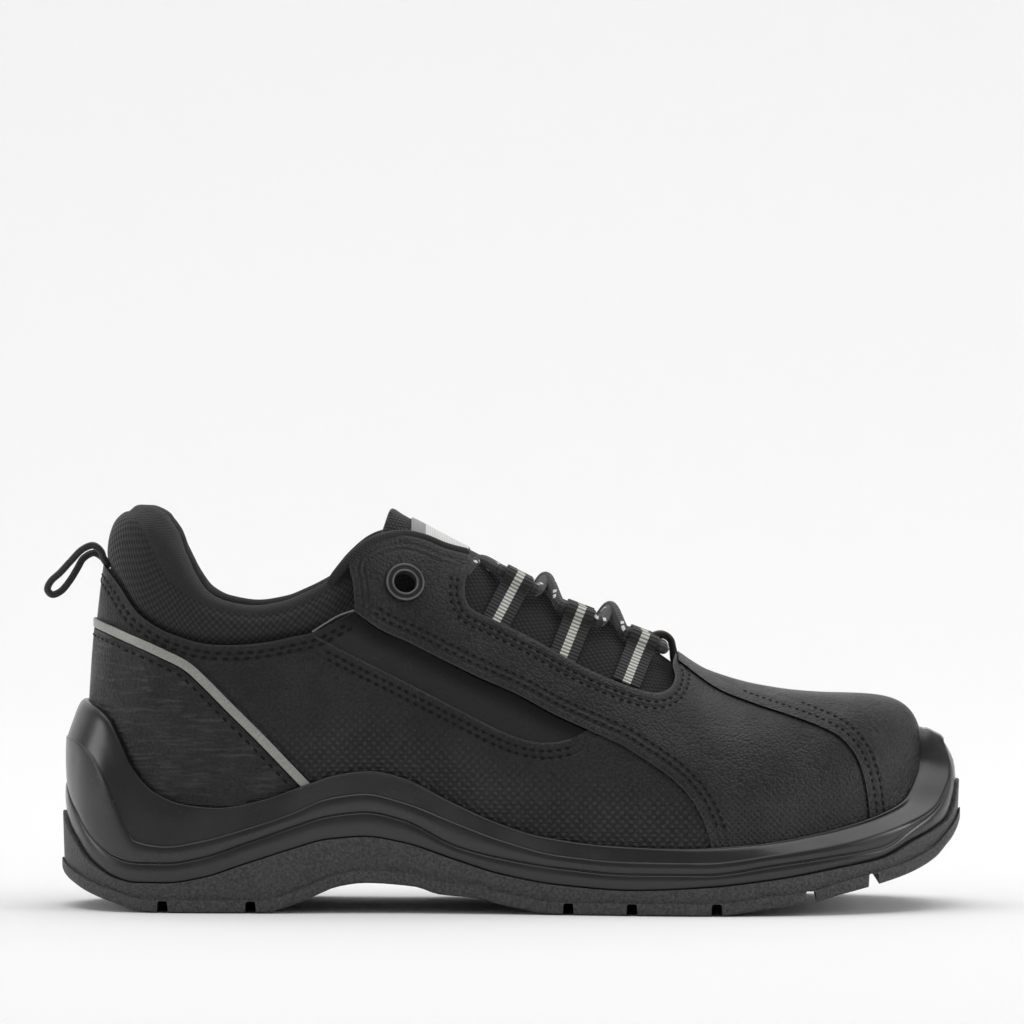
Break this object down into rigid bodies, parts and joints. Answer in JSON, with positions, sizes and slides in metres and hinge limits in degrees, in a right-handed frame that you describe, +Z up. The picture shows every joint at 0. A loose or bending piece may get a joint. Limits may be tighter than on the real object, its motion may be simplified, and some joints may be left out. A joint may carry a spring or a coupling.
{
  "type": "work shoe",
  "caption": "Low black work shoe for the right foot: injected sole with a wavy wrap, leather upper, padded mesh collar, webbing lacing and a heel pull loop.",
  "frame": {"origin": "middle of the shoe's box on the floor, without the pull loop", "axes": "+X to the toe, +Y to the inner side of the foot, +Z up from the floor"},
  "size_m": [0.3089, 0.1094, 0.1351],
  "materials": {
    "outsole_rubber": "matte",
    "midsole_pu": "satin",
    "insole_foam": "matte",
    "upper_leather": "satin",
    "collar_mesh": "matte",
    "label_fabric": "matte",
    "binding_knit": "matte",
    "eyelet_metal": "satin",
    "webbing": "matte",
    "lace_cord": "matte",
    "keeper_leather": "satin",
    "reflective": "satin"
  },
  "bodies": {
    "root": {"outsole": "outsole_rubber", "midsole": "midsole_pu", "insole": "insole_foam", "upper": "upper_leather", "collar": "collar_mesh", "tongue": "collar_mesh", "tongue_label": "label_fabric", "eyestay_binding_lateral": "binding_knit", "eyestay_binding_medial": "binding_knit", "eyelet_lateral": "eyelet_metal", "eyelet_medial": "eyelet_metal", "lace_loop_lateral_1": "webbing", "lace_loop_lateral_2": "webbing", "lace_loop_lateral_3": "webbing", "lace_loop_medial_1": "webbing", "lace_loop_medial_2": "webbing", "lace_loop_medial_3": "webbing", "lace": "lace_cord", "lace_keeper": "keeper_leather", "reflective_strip": "reflective", "pull_loop": "lace_cord"}
  },
  "joints": []
}
